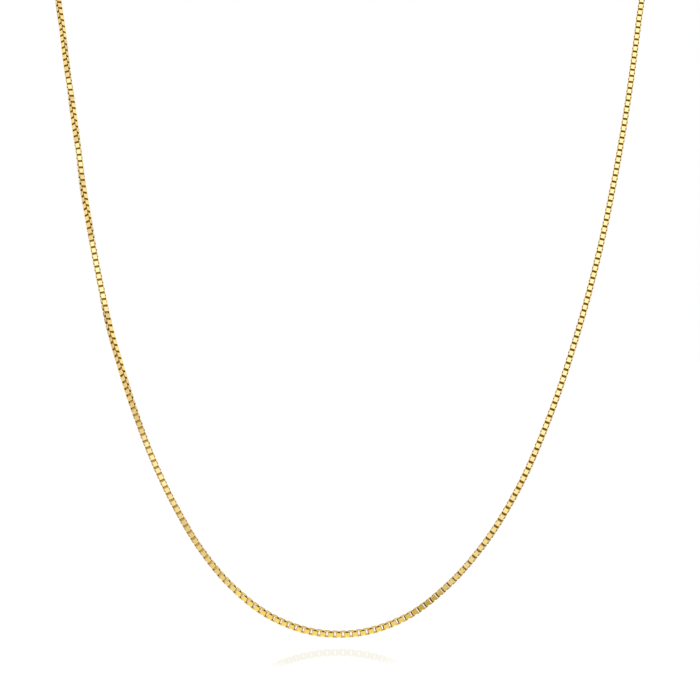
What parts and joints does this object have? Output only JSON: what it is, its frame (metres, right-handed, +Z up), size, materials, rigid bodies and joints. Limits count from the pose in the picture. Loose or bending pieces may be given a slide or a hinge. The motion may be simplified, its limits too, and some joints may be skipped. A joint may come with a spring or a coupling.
{
  "type": "box chain necklace",
  "caption": "Fine gold box chain necklace, closed at the nape by a plain ring clasp, in the hanging form that it takes when worn.",
  "frame": {"origin": "middle of the clasp, where the chain rests on the nape of the neck", "axes": "+Z up, +Y away from the wearer's back, so the front of the chain hangs on -Y; +X is to the right as seen from in front"},
  "size_m": [0.1117, 0.0943, 0.143],
  "materials": {
    "polished_gold": "polished yellow gold"
  },
  "bodies": {
    "root": {"box_chain": "polished_gold", "clasp": "polished_gold"}
  },
  "joints": []
}
